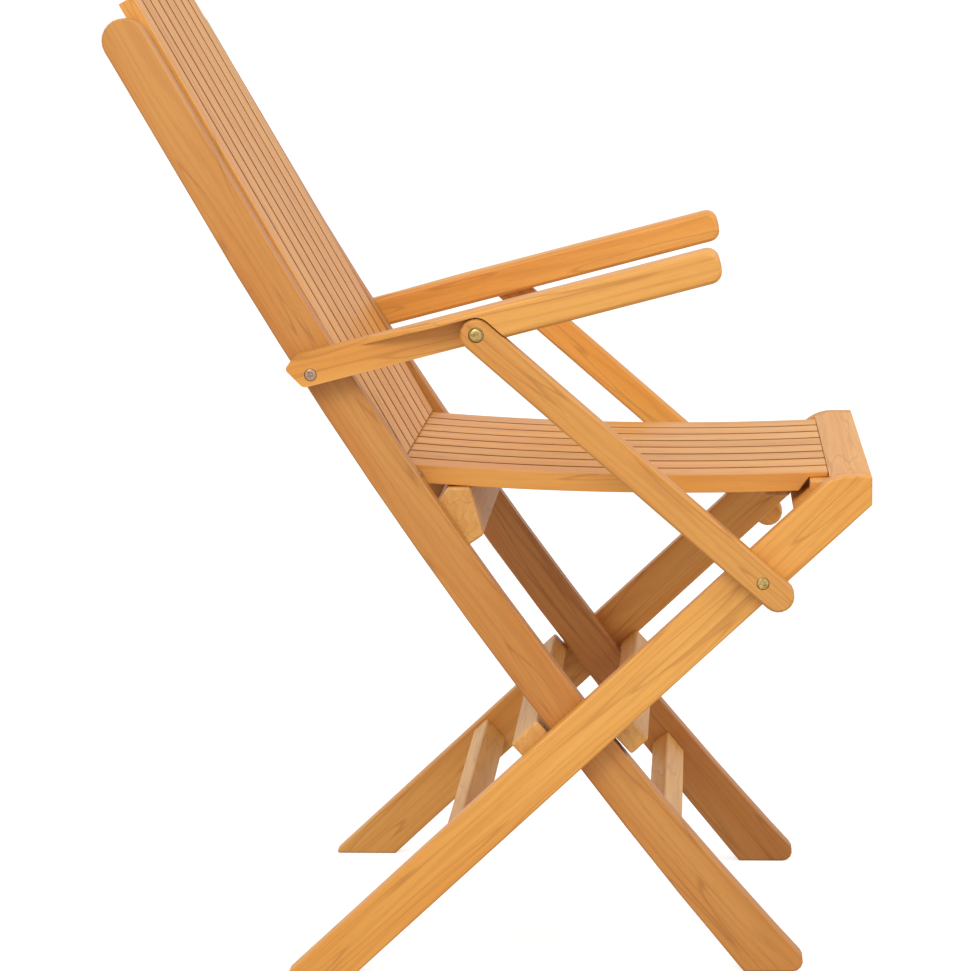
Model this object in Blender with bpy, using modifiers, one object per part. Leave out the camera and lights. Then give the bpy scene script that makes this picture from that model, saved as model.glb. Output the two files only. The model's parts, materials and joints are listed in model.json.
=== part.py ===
"""Folding teak armchair with crossed legs, a slatted seat and back, and armrests that fold with it.

Units are metres.  +X is the way the sitter faces, Y is the width, +Z is up, and the origin is
on the floor under the middle of the chair's outer box.  The chair is modelled open.

Looked at from the side, the chair is a stack of flat layers, given as distances from the middle:
seat and back slats, then the stiles, then the rear legs and the inner half of the armrests, and
then the struts and the outer half of the armrests.
"""
import math

import bmesh
import bpy

# ---- layers across the width, one side, measured from the middle of the chair
SLAT_COUNT = 8
SLAT_GAP = 0.0070          # open gap between neighbouring slats
SEAT_HALF_WIDTH = 0.1925   # outer face of the outermost slats
SEAT_SIDE_GAP = 0.008      # seat to stile
BOARD_THICKNESS = 0.022    # stiles and rear legs
STRUT_THICKNESS = 0.0205
LAYER_GAP = 0.0008         # running gap between boards that turn on each other
TOUCH_GAP = 0.0003         # gap between pieces that are fixed together
HOLE_CLEARANCE = 0.0001    # round every pin and screw shank
SINK_CLEARANCE = 0.0004    # round every sunk screw head and washer
DRILL_OVERRUN = 0.002      # drill past an open face
GAP_OVERRUN = 0.0004       # drill past a face into the running gap

# ---- crossing of the legs
PIVOT_Z = 0.2212           # height of the bolt where stile and rear leg cross
PIVOT_PIN_RADIUS = 0.005
PIVOT_PIN_REACH = 0.015    # depth of the pin in each board

# ---- stile: straight at the top, then one long bend down to the front foot
STILE_TOP_ANGLE = math.radians(60.24)
STILE_BEND_X = -0.2456     # where the straight top part runs into the bend
STILE_BEND_Z = 0.7131
STILE_BEND_RADIUS = 4.409
STILE_WIDTH = 0.040
STILE_FOOT_WIDTH = 0.050
STILE_FLARE_Z = 0.194      # the leg widens below this height
STILE_TOP_Z = 0.869        # top of the rounded end
STILE_TOE_RADIUS = 0.010

# ---- rear leg: straight, ending in the front nose that carries the seat
LEG_ANGLE = math.radians(42.83)
LEG_WIDTH = 0.043
NOSE_FRONT_X = 0.3430
NOSE_TOP_Z = 0.4604
NOSE_ROUND_RADIUS = 0.039  # where the sloping top edge turns level
NOSE_EDGE_RADIUS = 0.002
HEEL_RADIUS = 0.002

# ---- front plank between the noses
PLANK_REAR_X = 0.2887
PLANK_SHOULDER_X = 0.2731
PLANK_BOTTOM_Z = 0.4155
PLANK_UNDERCUT = 0.012     # lean of the rear face
LEDGE_FRONT_X = 0.3058     # the slats' tongues end here
TONGUE_THICKNESS = 0.0045

# ---- seat: one long dished curve
SEAT_LOW_X = 0.1715        # lowest point of the dish
SEAT_LOW_Z = 0.4544
SEAT_CURVE_RADIUS = 3.0
SEAT_THICKNESS = 0.0165
SEAT_REAR_X = -0.0915
SEAT_REAR_ROUND = 0.006
SEAT_REAR_LEVEL = 0.020    # straight part behind the curve
SEAT_PIVOT_X = -0.065
SEAT_PIVOT_Z = 0.4555
SEAT_ROD_RADIUS = 0.003
SEAT_ROD_REACH = 0.014     # depth of the rod in each stile
NOTCH_ANGLE = math.radians(52.0)   # lean of the slat's end behind the plank
BATTEN_WIDTH = 0.022
BATTEN_THICKNESS = 0.008
BATTEN_FRONT_X = 0.2715
BATTEN_END_SET_BACK = 0.0275   # its ends, in from the seat's outer faces

# ---- back slats: one straight plane
BACK_ANGLE = math.radians(60.4)
BACK_PLANE_X = -0.1971     # a point on the slats' front face
BACK_PLANE_Z = 0.6732
BACK_SLAT_THICKNESS = 0.0145
BACK_SLAT_TOP_Z = 0.8880
BACK_SLAT_BOTTOM_Z = 0.4670
BACK_RAIL_HEIGHT = 0.045
BACK_RAILS = {"back_top_rail": (0.800, 0.018), "back_lower_rail": (0.505, 0.0155)}

# ---- rails between the boards
SEAT_RAIL_FRONT_X = -0.0189
SEAT_RAIL_NOSE_X = -0.0065
SEAT_RAIL_NOSE_Z = 0.4004
SEAT_RAIL_TOP_REAR_X = -0.0397
SEAT_RAIL_HOLLOW_X = -0.0500    # hollowed for the sweep of the seat's rear end
SEAT_RAIL_HOLLOW_Z = 0.4280
SEAT_RAIL_DEPTH = 0.040
SEAT_RAIL_SHOULDER_Z = 0.4245
FRONT_STRETCHER = (0.121, 0.027, 0.021, 0.004)   # height, along the leg, across it, set back
REAR_STRETCHER_ALONG = -0.1435   # from the pivot, along the rear leg
REAR_STRETCHER_SIZE = (0.0195, 0.028)
REAR_STRETCHER_ACROSS = 0.004
STOP_GAP = 0.0012          # stop rail to stile when the chair is open
STOP_RAIL_SIZES = {"stop_rail_rear": (0.032, 0.019, 0.0165), "stop_rail_front": (0.0215, 0.028, -0.0175)}

# ---- armrest, in its own frame: the rear screw is at 0, u runs forward and w up, square to it
ARM_ANGLE = math.radians(14.4)
ARM_PIVOT_X = -0.1580
ARM_PIVOT_Z = 0.5518
ARM_FRONT_U = 0.379
ARM_LOW_W = -0.0097
ARM_HIGH_W = 0.0203
ARM_TAIL_U = -0.0213       # the tail's blunt point
ARM_TAIL_W = 0.0105
ARM_TAIL_FOOT_U = -0.0095
ARM_END_RADIUS = 0.011
STRUT_SCREW_U = 0.1544     # strut's upper screw
STRUT_SCREW_W = -0.0009
ARM_NOTCH_CLEARANCE = 0.0011
RECESS_OVERRUN = 0.040     # the recess cutter's length past the board
ARM_TAPER_START_U = 0.050
ARM_TAPER_END_U = 0.127

# ---- strut
STRUT_WIDTH = 0.029
STRUT_FOOT_X = 0.2457      # lower screw
STRUT_FOOT_Z = 0.3669
STRUT_OVERRUN = 0.018      # centre of the rounded end past the lower screw

# ---- screws
SCREW_SHANK_RADIUS = 0.003
SCREW_HEAD_RADIUS = 0.0053
SCREW_HEAD_HEIGHT = 0.003
SCREW_EDGE = 0.0006        # chamfer round the head
SCREW_RECESS = 0.0006      # head below the wood's face
SOCKET_ACROSS_FLATS = 0.004
SOCKET_DEPTH = 0.0018
WASHER_RADIUS = 0.0066
WASHER_THICKNESS = 0.0012
ARM_SCREW_BITE = 0.016     # thread in the stile
STRUT_SCREW_BITE = 0.015   # thread in the armrest

EDGE_CHAMFER = 0.0015
ROUND_SEGMENTS = 20

# ---- values that follow
SLAT_WIDTH = (2 * SEAT_HALF_WIDTH - (SLAT_COUNT - 1) * SLAT_GAP) / SLAT_COUNT
SLAT_PITCH = SLAT_WIDTH + SLAT_GAP
BATTEN_HALF_LENGTH = SEAT_HALF_WIDTH - BATTEN_END_SET_BACK
STILE_IN = SEAT_HALF_WIDTH + SEAT_SIDE_GAP
STILE_OUT = STILE_IN + BOARD_THICKNESS
LEG_IN = STILE_OUT + LAYER_GAP
LEG_OUT = LEG_IN + BOARD_THICKNESS
STRUT_IN = LEG_OUT + LAYER_GAP
STRUT_OUT = STRUT_IN + STRUT_THICKNESS
SIDES = {"right": -1, "left": 1}

PARTS = bpy.data.collections.new("folding_teak_armchair")
CUTTERS = bpy.data.collections.new("cutters")


# ---------------------------------------------------------------- plane geometry
def stile_angle(z):
    """Slope of the stile's centre line at height z."""
    drop = max(0.0, STILE_BEND_Z - z)
    return math.acos(math.cos(STILE_TOP_ANGLE) + drop / STILE_BEND_RADIUS)


def stile_x(z):
    """Centre line of the stile at height z."""
    if z >= STILE_BEND_Z:
        return STILE_BEND_X - (z - STILE_BEND_Z) / math.tan(STILE_TOP_ANGLE)
    return STILE_BEND_X + STILE_BEND_RADIUS * (math.sin(STILE_TOP_ANGLE) - math.sin(stile_angle(z)))


def stile_edge(z, side):
    """Point on the stile's front edge (side 1) or rear edge (side -1), square to the centre at z."""
    flare = max(0.0, 1.0 - z / STILE_FLARE_Z)
    half = side * (STILE_WIDTH + flare * (STILE_FOOT_WIDTH - STILE_WIDTH)) / 2
    angle = stile_angle(z)
    return (stile_x(z) + half * math.sin(angle), z + half * math.cos(angle))


PIVOT_X = stile_x(PIVOT_Z)


def leg_point(along, across):
    """Point given along the rear leg from the pivot, and across it, positive up and to the rear."""
    cos_a, sin_a = math.cos(LEG_ANGLE), math.sin(LEG_ANGLE)
    return (PIVOT_X + along * cos_a - across * sin_a, PIVOT_Z + along * sin_a + across * cos_a)


def leg_edge_x(z, side):
    """Where the rear leg's lower edge (side 1) or upper edge (side -1) is at height z."""
    return PIVOT_X + (z - PIVOT_Z) / math.tan(LEG_ANGLE) + side * LEG_WIDTH / 2 / math.sin(LEG_ANGLE)


def leg_edge_z(x, side):
    """Height of the rear leg's lower edge (side 1) or upper edge (side -1) at x."""
    return PIVOT_Z + (x - PIVOT_X - side * LEG_WIDTH / 2 / math.sin(LEG_ANGLE)) * math.tan(LEG_ANGLE)


def seat_top(x):
    """Height of the seat's upper face at x."""
    return SEAT_LOW_Z + SEAT_CURVE_RADIUS - math.sqrt(SEAT_CURVE_RADIUS ** 2 - (x - SEAT_LOW_X) ** 2)


def back_point(z, behind=0.0):
    """Point on the back slats' front face at height z, or moved square to it, behind it."""
    x = BACK_PLANE_X - (z - BACK_PLANE_Z) / math.tan(BACK_ANGLE)
    return (x - behind * math.sin(BACK_ANGLE), z - behind * math.cos(BACK_ANGLE))


def arm_point(u, w):
    """Point of the armrest's own frame in the chair's side view."""
    cos_a, sin_a = math.cos(ARM_ANGLE), math.sin(ARM_ANGLE)
    return (ARM_PIVOT_X + u * cos_a - w * sin_a, ARM_PIVOT_Z + u * sin_a + w * cos_a)


def strut_slope():
    """Angle of the strut, from its upper screw to its lower one."""
    top_x, top_z = arm_point(STRUT_SCREW_U, STRUT_SCREW_W)
    return math.atan2(STRUT_FOOT_Z - top_z, STRUT_FOOT_X - top_x)


def arc(centre, radius, start, end, segments):
    """Points on an arc, both ends included."""
    steps = [start + (end - start) * i / segments for i in range(segments + 1)]
    return [(centre[0] + radius * math.cos(a), centre[1] + radius * math.sin(a)) for a in steps]


def between(start, end, count):
    """Evenly spaced numbers, both ends included."""
    return [start + (end - start) * i / (count - 1) for i in range(count)]


def rounded(corners, segments=5):
    """Outline from (x, z, radius) corners, each rounded by its own radius."""
    outline = []
    count = len(corners)
    for i, (x, z, radius) in enumerate(corners):
        if radius == 0.0:
            outline.append((x, z))
            continue
        before, after = corners[i - 1], corners[(i + 1) % count]
        in_angle = math.atan2(before[1] - z, before[0] - x)
        out_angle = math.atan2(after[1] - z, after[0] - x)
        turn = (out_angle - in_angle + math.pi) % (2 * math.pi) - math.pi
        reach = radius / math.tan(abs(turn) / 2)
        middle = in_angle + turn / 2
        far = radius / math.sin(abs(turn) / 2)
        centre = (x + far * math.cos(middle), z + far * math.sin(middle))
        first = (x + reach * math.cos(in_angle), z + reach * math.sin(in_angle))
        last = (x + reach * math.cos(out_angle), z + reach * math.sin(out_angle))
        start = math.atan2(first[1] - centre[1], first[0] - centre[0])
        end = math.atan2(last[1] - centre[1], last[0] - centre[0])
        sweep = (end - start + math.pi) % (2 * math.pi) - math.pi
        outline += arc(centre, radius, start, start + sweep, segments)
    return outline


def bar_outline(centre, angle, length, height):
    """Rectangle in the side view, its length along the angle."""
    cos_a, sin_a = math.cos(angle), math.sin(angle)
    corners = [(-length / 2, -height / 2), (length / 2, -height / 2),
               (length / 2, height / 2), (-length / 2, height / 2)]
    return [(centre[0] + u * cos_a - w * sin_a, centre[1] + u * sin_a + w * cos_a) for u, w in corners]


# ---------------------------------------------------------------- building blocks
def make_material(name, colour, roughness, metallic=0.0):
    material = bpy.data.materials.new(name)
    material.use_nodes = True
    shader = material.node_tree.nodes["Principled BSDF"]
    shader.inputs["Base Color"].default_value = (*colour, 1.0)
    shader.inputs["Roughness"].default_value = roughness
    shader.inputs["Metallic"].default_value = metallic
    return material


def body_empty(name, x, z):
    """An empty on a body's joint axis; the body's pieces are its children."""
    empty = bpy.data.objects.new(name, None)
    empty.location = (x, 0.0, z)
    PARTS.objects.link(empty)
    return empty


def attach(obj, body):
    """Parent a piece that was placed in chair coordinates to its body's empty."""
    obj.parent = body
    obj.location = obj.location - body.location


def board(name, outline, inner, outer, material, body, chamfer=EDGE_CHAMFER):
    """A flat board: an outline in the side view, from one Y to another, with eased edges."""
    curve = bpy.data.curves.new(name, "CURVE")
    curve.dimensions = "2D"
    curve.fill_mode = "BOTH"
    curve.extrude = abs(outer - inner) / 2
    spline = curve.splines.new("POLY")
    spline.points.add(len(outline) - 1)
    for point, (x, z) in zip(spline.points, outline):
        point.co = (x - body.location.x, z - body.location.z, 0.0, 1.0)
    spline.use_cyclic_u = True
    flat = bpy.data.objects.new(name, curve)
    flat.rotation_euler = (math.pi / 2, 0.0, 0.0)
    flat.location = (body.location.x, (inner + outer) / 2, body.location.z)
    PARTS.objects.link(flat)
    bpy.context.view_layer.update()
    evaluated = flat.evaluated_get(bpy.context.evaluated_depsgraph_get())
    mesh = bpy.data.meshes.new_from_object(evaluated)
    obj = bpy.data.objects.new(name + "_board", mesh)
    obj.matrix_world = flat.matrix_world
    bpy.data.objects.remove(flat)
    obj.name = name
    PARTS.objects.link(obj)
    weld = bmesh.new()
    weld.from_mesh(mesh)
    bmesh.ops.remove_doubles(weld, verts=weld.verts, dist=0.00001)
    bmesh.ops.dissolve_limit(weld, angle_limit=0.001, verts=weld.verts, edges=weld.edges)
    weld.to_mesh(mesh)
    weld.free()
    mesh.materials.clear()
    mesh.materials.append(material)
    attach(obj, body)
    if chamfer > 0.0:
        ease = obj.modifiers.new("eased_edges", "BEVEL")
        ease.width = chamfer
        ease.segments = 1
        ease.limit_method = "ANGLE"
        ease.angle_limit = math.radians(50)
    return obj


def cut(obj, cutter, name):
    """Take the cutter's shape out of the piece."""
    cutter.hide_render = True
    cutter.display_type = "WIRE"
    modifier = obj.modifiers.new(name, "BOOLEAN")
    modifier.operation = "DIFFERENCE"
    modifier.solver = "EXACT"
    modifier.object = cutter


def prism_cutter(name, outline, y_from, y_to):
    """A straight-sided cutter: an outline in the side view, from one Y to another."""
    mesh = bpy.data.meshes.new(name)
    solid = bmesh.new()
    near = [solid.verts.new((x, y_from, z)) for x, z in outline]
    face = solid.faces.new(near)
    extruded = bmesh.ops.extrude_face_region(solid, geom=[face])
    moved = [item for item in extruded["geom"] if isinstance(item, bmesh.types.BMVert)]
    bmesh.ops.translate(solid, verts=moved, vec=(0.0, y_to - y_from, 0.0))
    bmesh.ops.recalc_face_normals(solid, faces=solid.faces)
    solid.to_mesh(mesh)
    solid.free()
    cutter = bpy.data.objects.new(name, mesh)
    CUTTERS.objects.link(cutter)
    return cutter


def drill(obj, x, z, radius, y_from, y_to):
    """A round hole across the width, between two Y values."""
    name = obj.name + "_hole_%d" % len(obj.modifiers)
    outline = arc((x, z), radius, 0.0, 2 * math.pi, ROUND_SEGMENTS)[:-1]
    cut(obj, prism_cutter(name, outline, y_from, y_to), "hole")


def turned(name, profile, x, z, side, material, body):
    """A turned piece: (radius, y) profile points from its outer end inwards, mirrored to its side."""
    mesh = bpy.data.meshes.new(name)
    wire = bmesh.new()
    points = [wire.verts.new((radius, 0.0, -y)) for radius, y in profile]
    for first, second in zip(points, points[1:]):
        wire.edges.new((first, second))
    wire.to_mesh(mesh)
    wire.free()
    obj = bpy.data.objects.new(name, mesh)
    obj.location = (x, 0.0, z)
    obj.rotation_euler = (side * math.pi / 2, 0.0, 0.0)
    PARTS.objects.link(obj)
    spin = obj.modifiers.new("turn", "SCREW")
    spin.axis = "Z"
    spin.steps = ROUND_SEGMENTS
    spin.render_steps = ROUND_SEGMENTS
    spin.use_merge_vertices = True
    spin.merge_threshold = 0.00001
    spin.use_smooth_shade = True
    spin.use_normal_flip = True
    mesh.materials.append(material)
    attach(obj, body)
    return obj


# ---------------------------------------------------------------- back frame: stiles, back, front legs
def build_stiles(wood, body):
    cap_z = STILE_TOP_Z - STILE_WIDTH / 2
    heights = [cap_z] + between(STILE_BEND_Z, -0.040, 13)
    cap_centre = (stile_x(cap_z), cap_z)
    lean = stile_angle(cap_z)
    cap = arc(cap_centre, STILE_WIDTH / 2, math.pi * 1.5 - lean, math.pi / 2 - lean, 12)
    front = [stile_edge(z, 1) for z in heights]
    rear = [stile_edge(z, -1) for z in heights]
    toe_x, heel_x = floor_crossing(front), floor_crossing(rear)
    front = [(x, z, 0.0) for x, z in front[1:] if z > STILE_TOE_RADIUS]
    rear = [(x, z, 0.0) for x, z in reversed(rear[1:]) if z > 0.001]
    corners = [(x, z, 0.0) for x, z in cap] + front
    corners += [(toe_x, 0.0, STILE_TOE_RADIUS), (heel_x, 0.0, 0.0)] + rear
    outline = rounded(corners)
    for word, side in SIDES.items():
        stile = board("stile_" + word, outline, side * STILE_IN, side * STILE_OUT, wood, body)
        radius = PIVOT_PIN_RADIUS + HOLE_CLEARANCE
        floor_y = STILE_OUT - PIVOT_PIN_REACH - TOUCH_GAP
        drill(stile, PIVOT_X, PIVOT_Z, radius, side * floor_y, side * (STILE_OUT + DRILL_OVERRUN))
        radius = SEAT_ROD_RADIUS + HOLE_CLEARANCE
        floor_y = STILE_IN + SEAT_ROD_REACH + TOUCH_GAP
        drill(stile, SEAT_PIVOT_X, SEAT_PIVOT_Z, radius, side * (STILE_IN - DRILL_OVERRUN), side * floor_y)
        radius = SCREW_SHANK_RADIUS + HOLE_CLEARANCE
        floor_y = STILE_OUT - ARM_SCREW_BITE - TOUCH_GAP
        drill(stile, ARM_PIVOT_X, ARM_PIVOT_Z, radius, side * floor_y, side * (STILE_OUT + DRILL_OVERRUN))


def floor_crossing(points):
    """Where a falling line of points meets the floor."""
    for (x0, z0), (x1, z1) in zip(points, points[1:]):
        if z0 > 0.0 >= z1:
            return x0 + (x1 - x0) * z0 / (z0 - z1)
    raise ValueError("the line of points never meets the floor")


def slat_span(index):
    """Y of the two faces of a slat, counted from the right."""
    start = -SEAT_HALF_WIDTH + index * SLAT_PITCH
    return start, start + SLAT_WIDTH


def build_back(wood, body):
    behind = BACK_SLAT_THICKNESS
    top_front = back_point(BACK_SLAT_TOP_Z)
    top_rear = back_point(BACK_SLAT_TOP_Z, behind)
    rear_drop = behind / math.cos(math.pi / 2 - BACK_ANGLE)
    low_front = back_point(BACK_SLAT_BOTTOM_Z)
    low_rear = (low_front[0] - rear_drop, BACK_SLAT_BOTTOM_Z)
    outline = [low_front, top_front, top_rear, low_rear]
    for index in range(SLAT_COUNT):
        y_from, y_to = slat_span(index)
        board("back_slat_%d" % (index + 1), outline, y_from, y_to, wood, body)
    for name, (height, thickness) in BACK_RAILS.items():
        centre = back_point(height, behind + TOUCH_GAP + thickness / 2)
        outline = bar_outline(centre, math.pi - BACK_ANGLE, BACK_RAIL_HEIGHT, thickness)
        reach = STILE_IN - TOUCH_GAP
        board(name, outline, -reach, reach, wood, body)


def build_frame_rails(wood, body):
    reach = STILE_IN - TOUCH_GAP
    top_z = seat_top(SEAT_RAIL_FRONT_X) - SEAT_THICKNESS - TOUCH_GAP
    grain = stile_angle(SEAT_RAIL_NOSE_Z)
    low_rear = (SEAT_RAIL_NOSE_X - SEAT_RAIL_DEPTH * math.sin(grain),
                SEAT_RAIL_NOSE_Z - SEAT_RAIL_DEPTH * math.cos(grain))
    high_rear = (low_rear[0] - (SEAT_RAIL_SHOULDER_Z - low_rear[1]) / math.tan(grain),
                 SEAT_RAIL_SHOULDER_Z)
    outline = [(SEAT_RAIL_FRONT_X, top_z), (SEAT_RAIL_TOP_REAR_X, top_z),
               (SEAT_RAIL_HOLLOW_X, SEAT_RAIL_HOLLOW_Z), high_rear, low_rear,
               (SEAT_RAIL_NOSE_X, SEAT_RAIL_NOSE_Z)]
    board("seat_support_rail", outline, -reach, reach, wood, body)
    height, along, across, set_back = FRONT_STRETCHER
    angle = stile_angle(height)
    centre = (stile_x(height) - set_back * math.sin(angle), height - set_back * math.cos(angle))
    outline = bar_outline(centre, math.pi - angle, along, across)
    board("front_leg_stretcher", outline, -reach, reach, wood, body)


# ---------------------------------------------------------------- rear leg frame
def nose_corners():
    """The nose's outline from its lower front corner round to its sloping top edge."""
    return [(NOSE_FRONT_X, leg_edge_z(NOSE_FRONT_X, 1), NOSE_EDGE_RADIUS),
            (NOSE_FRONT_X, NOSE_TOP_Z, NOSE_EDGE_RADIUS),
            (leg_edge_x(NOSE_TOP_Z, -1), NOSE_TOP_Z, NOSE_ROUND_RADIUS)]


def build_rear_legs(wood, body):
    corners = [(leg_edge_x(0.0, -1), 0.0, HEEL_RADIUS), (leg_edge_x(0.0, 1), 0.0, 0.0)] + nose_corners()
    outline = rounded(corners)
    for word, side in SIDES.items():
        leg = board("rear_leg_" + word, outline, side * LEG_IN, side * LEG_OUT, wood, body)
        radius = PIVOT_PIN_RADIUS + HOLE_CLEARANCE
        floor_y = LEG_IN + PIVOT_PIN_REACH + TOUCH_GAP
        drill(leg, PIVOT_X, PIVOT_Z, radius, side * (LEG_IN - GAP_OVERRUN), side * floor_y)


def build_plank(wood, body):
    ledge_drop = TONGUE_THICKNESS + TOUCH_GAP
    top = rounded([(leg_edge_x(PLANK_BOTTOM_Z, 1), PLANK_BOTTOM_Z, 0.0)] + nose_corners()
                  + [(PLANK_SHOULDER_X, leg_edge_z(PLANK_SHOULDER_X, -1), 0.0)], 8)
    nose = [point for point in top[:-1] if point[0] > LEDGE_FRONT_X or point[1] < NOSE_TOP_Z - 0.02]
    last, following = nose[-1], top[top.index(nose[-1]) + 1]
    share = (last[0] - LEDGE_FRONT_X) / (last[0] - following[0])
    step = (LEDGE_FRONT_X, last[1] + (following[1] - last[1]) * share)
    outline = nose + [step,
                      (LEDGE_FRONT_X, seat_top(LEDGE_FRONT_X) - ledge_drop),
                      (PLANK_REAR_X, seat_top(PLANK_REAR_X) - ledge_drop),
                      (PLANK_REAR_X, leg_edge_z(PLANK_REAR_X, -1)),
                      (PLANK_SHOULDER_X, leg_edge_z(PLANK_SHOULDER_X, -1)),
                      (PLANK_SHOULDER_X + PLANK_UNDERCUT, PLANK_BOTTOM_Z)]
    reach = LEG_IN - TOUCH_GAP
    board("front_plank", outline, -reach, reach, wood, body, chamfer=0.0)


def build_leg_rails(wood, body):
    reach = LEG_IN - TOUCH_GAP
    along, across = REAR_STRETCHER_SIZE
    centre = leg_point(REAR_STRETCHER_ALONG, REAR_STRETCHER_ACROSS)
    outline = bar_outline(centre, LEG_ANGLE, along, across)
    board("rear_leg_stretcher", outline, -reach, reach, wood, body)
    for name, (along, across, edge) in STOP_RAIL_SIZES.items():
        side = 1 if edge > 0 else -1
        start = side * (STILE_WIDTH / 2 + STOP_GAP)
        centre = leg_point(-(start + side * along / 2), edge + side * across / 2)
        outline = bar_outline(centre, LEG_ANGLE, along, across)
        board(name, outline, -reach, reach, wood, body)


# ---------------------------------------------------------------- seat
def build_seat(wood, steel, body):
    tongue_end = LEDGE_FRONT_X - LAYER_GAP
    notch_x = PLANK_REAR_X - LAYER_GAP
    tongue_z = seat_top(notch_x) - TONGUE_THICKNESS
    notch_foot_x = notch_x - (SEAT_THICKNESS - TONGUE_THICKNESS) / math.tan(NOTCH_ANGLE)
    top = [(x, seat_top(x), 0.0) for x in between(SEAT_REAR_X + SEAT_REAR_LEVEL, tongue_end, 12)]
    bottom = [(x, seat_top(x) - SEAT_THICKNESS, 0.0)
              for x in between(notch_foot_x, SEAT_REAR_X + SEAT_REAR_LEVEL, 12)]
    rear = [(SEAT_REAR_X, seat_top(SEAT_REAR_X) - SEAT_THICKNESS, SEAT_REAR_ROUND),
            (SEAT_REAR_X, seat_top(SEAT_REAR_X), SEAT_REAR_ROUND)]
    tongue = [(tongue_end, seat_top(tongue_end) - TONGUE_THICKNESS, 0.0), (notch_x, tongue_z, 0.0)]
    outline = rounded(top + tongue + bottom + rear, 4)
    for index in range(SLAT_COUNT):
        y_from, y_to = slat_span(index)
        slat = board("seat_slat_%d" % (index + 1), outline, y_from, y_to, wood, body, chamfer=0.001)
        radius = SEAT_ROD_RADIUS + HOLE_CLEARANCE
        drill(slat, SEAT_PIVOT_X, SEAT_PIVOT_Z, radius, y_from - DRILL_OVERRUN, y_to + DRILL_OVERRUN)
    under = SEAT_THICKNESS + TOUCH_GAP
    rear_x = BATTEN_FRONT_X - BATTEN_WIDTH
    outline = [(rear_x, seat_top(rear_x) - under), (BATTEN_FRONT_X, seat_top(BATTEN_FRONT_X) - under - 0.0001),
               (BATTEN_FRONT_X, seat_top(BATTEN_FRONT_X) - under - BATTEN_THICKNESS),
               (rear_x, seat_top(rear_x) - under - BATTEN_THICKNESS)]
    board("seat_batten", outline, -BATTEN_HALF_LENGTH, BATTEN_HALF_LENGTH, wood, body)
    reach = STILE_IN + SEAT_ROD_REACH
    profile = [(0.0, reach), (SEAT_ROD_RADIUS, reach), (SEAT_ROD_RADIUS, -reach), (0.0, -reach)]
    turned("seat_pivot_rod", profile, SEAT_PIVOT_X, SEAT_PIVOT_Z, 1, steel, body)


# ---------------------------------------------------------------- armrests and struts
def arm_outline():
    corners = [(ARM_TAIL_FOOT_U, ARM_LOW_W, 0.006), (ARM_FRONT_U, ARM_LOW_W, ARM_END_RADIUS),
               (ARM_FRONT_U, ARM_HIGH_W, ARM_END_RADIUS), (ARM_TAIL_FOOT_U, ARM_HIGH_W, 0.012),
               (ARM_TAIL_U, ARM_TAIL_W, 0.004)]
    return [arm_point(u, w) for u, w in rounded(corners)]


def build_armrest(word, side, wood, body):
    arm = board("armrest_" + word, arm_outline(), side * LEG_IN, side * STRUT_OUT, wood, body, chamfer=0.003)
    radius = STRUT_WIDTH / 2 + ARM_NOTCH_CLEARANCE
    centre = (STRUT_SCREW_U, STRUT_SCREW_W)
    lean = strut_slope() - ARM_ANGLE
    nose = arc(centre, radius, lean + math.pi / 2, math.pi / 2, 5)
    low = (nose[0][0] + RECESS_OVERRUN * math.cos(lean), nose[0][1] + RECESS_OVERRUN * math.sin(lean))
    recess = [(-RECESS_OVERRUN, low[1]), low] + nose + [(-RECESS_OVERRUN, STRUT_SCREW_W + radius)]
    outline = [arm_point(u, w) for u, w in recess]
    name = "armrest_%s_recess" % word
    cut(arm, prism_cutter(name, outline, side * LEG_OUT, side * (STRUT_OUT + 0.005)), "strut_recess")
    cut(arm, taper_cutter("armrest_%s_taper" % word, side), "taper")
    x, z = ARM_PIVOT_X, ARM_PIVOT_Z
    inner, outer = side * (LEG_IN - GAP_OVERRUN), side * (LEG_OUT + DRILL_OVERRUN)
    drill(arm, x, z, SCREW_SHANK_RADIUS + HOLE_CLEARANCE, inner, outer)
    seat_y = LEG_OUT - SCREW_RECESS - SCREW_HEAD_HEIGHT - TOUCH_GAP
    drill(arm, x, z, SCREW_HEAD_RADIUS + SINK_CLEARANCE, side * seat_y, outer)
    x, z = arm_point(STRUT_SCREW_U, STRUT_SCREW_W)
    floor_y = LEG_OUT - STRUT_SCREW_BITE - TOUCH_GAP
    drill(arm, x, z, SCREW_SHANK_RADIUS + HOLE_CLEARANCE, side * floor_y, side * (LEG_OUT + GAP_OVERRUN))


def taper_cutter(name, side):
    """Thins the rear of the armrest from the outside, along a slope seen from above."""
    outer = STRUT_OUT + 0.006
    slope = (outer - LEG_OUT) / (STRUT_OUT - LEG_OUT)
    end_u = ARM_TAPER_START_U + (ARM_TAPER_END_U - ARM_TAPER_START_U) * slope
    plan = [(-0.030, LEG_OUT), (ARM_TAPER_START_U, LEG_OUT), (end_u, outer), (-0.030, outer)]
    mesh = bpy.data.meshes.new(name)
    solid = bmesh.new()
    low, high = ARM_LOW_W - 0.020, ARM_HIGH_W + 0.020
    rows = []
    for w in (low, high):
        rows.append([solid.verts.new((arm_point(u, w)[0], side * y, arm_point(u, w)[1])) for u, y in plan])
    solid.faces.new(rows[0])
    solid.faces.new(list(reversed(rows[1])))
    for i in range(4):
        j = (i + 1) % 4
        solid.faces.new((rows[0][j], rows[0][i], rows[1][i], rows[1][j]))
    bmesh.ops.recalc_face_normals(solid, faces=solid.faces)
    solid.to_mesh(mesh)
    solid.free()
    cutter = bpy.data.objects.new(name, mesh)
    CUTTERS.objects.link(cutter)
    return cutter


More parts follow.
